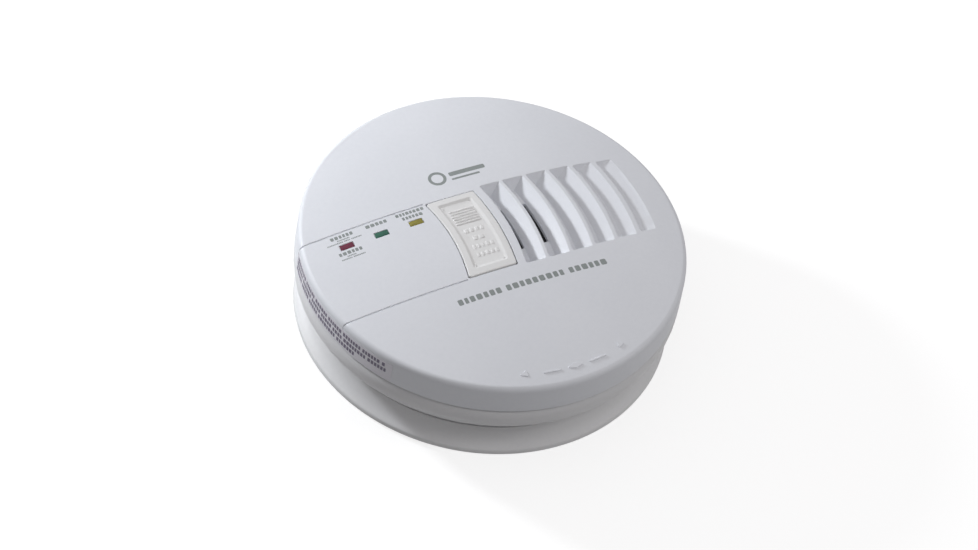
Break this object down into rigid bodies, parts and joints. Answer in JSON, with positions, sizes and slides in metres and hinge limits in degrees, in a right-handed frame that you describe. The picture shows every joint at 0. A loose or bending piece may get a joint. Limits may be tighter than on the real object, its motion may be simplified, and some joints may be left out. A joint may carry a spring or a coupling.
{
  "type": "carbon monoxide detector",
  "caption": "Round wall or ceiling gas alarm: domed case with a louvred grille, bowed test button and indicator windows, on a twist-lock mounting plate with a trim ring.",
  "frame": {"origin": "centre of the round case, on the back of the mounting plate that lies against the wall or ceiling", "axes": "+Z out of the wall through the domed face, +X along the indicator band towards the grille, +Y towards the maker's mark"},
  "size_m": [0.146, 0.146, 0.0461],
  "materials": {
    "case_plastic": "fine matte moulding",
    "button_plastic": "satin moulding",
    "ring_plastic": "fine matte moulding",
    "plate_plastic": "plain matte moulding",
    "label_film": "printed film with a light sheen",
    "board_laminate": "solder mask",
    "black_plastic": "matte",
    "plated_metal": "nickel plate",
    "brass_sheet": "plain sheet",
    "aluminium_can": "drawn can",
    "foam_rubber": "closed-cell foam",
    "filter_felt": "pressed felt",
    "epoxy_blue": "dipped epoxy",
    "film_yellow": "moulded box",
    "battery_jacket": "plain printed jacket",
    "lens_red": "tinted clear moulding",
    "lens_green": "tinted clear moulding",
    "lens_amber": "tinted clear moulding"
  },
  "bodies": {
    "bracket": {"mounting_plate": "plate_plastic", "trim_ring": "ring_plastic"},
    "alarm_head": {"ac_inlet_header": "black_plastic", "ac_pin_interconnect": "plated_metal", "ac_pin_line": "plated_metal", "ac_pin_neutral": "plated_metal", "back_cover": "case_plastic", "battery_9v": "battery_jacket", "battery_stud_negative": "plated_metal", "battery_stud_positive": "plated_metal", "board_screw_1": "plated_metal", "board_screw_2": "plated_metal", "board_screw_3": "plated_metal", "button_return_spring": "plated_metal", "circuit_board": "board_laminate", "co_sensor_cell": "aluminium_can", "electrolytic_capacitor": "aluminium_can", "film_capacitor": "film_yellow", "front_cover": "case_plastic", "horn_housing": "black_plastic", "led_amber": "lens_amber", "led_green": "lens_green", "led_red": "lens_red", "light_pipe_amber": "lens_amber", "light_pipe_green": "lens_green", "light_pipe_red": "lens_red", "microcontroller": "black_plastic", "piezo_disc": "brass_sheet", "rating_label": "label_film", "sensor_filter_disc": "filter_felt", "sensor_gasket": "foam_rubber", "side_label": "label_film", "snap_contact_negative": "plated_metal", "snap_contact_positive": "plated_metal", "step_up_coil": "black_plastic", "tact_switch_body": "black_plastic", "varistor": "epoxy_blue"},
    "test_button": {"test_button": "button_plastic", "switch_plunger": "black_plastic"},
    "battery_door": {"battery_door": "case_plastic"}
  },
  "joints": [
    {"name": "twist_lock", "type": "hinge", "parent": "bracket", "child": "alarm_head", "pos_m": [0, 0, 0], "axis": [0, 0, 1], "range_deg": [0, 15]},
    {"name": "test_button_press", "type": "slide", "parent": "alarm_head", "child": "test_button", "axis": [0, 0, -1], "range_m": [0, 0.001], "stiffness_N_per_m": 300, "springref_m": -0.002, "deforming": ["button_return_spring"]},
    {"name": "battery_door_hinge", "type": "hinge", "parent": "alarm_head", "child": "battery_door", "pos_m": [0.0266, -0.0065, 0.0076], "axis": [0, -1, 0], "range_deg": [0, 105]}
  ]
}
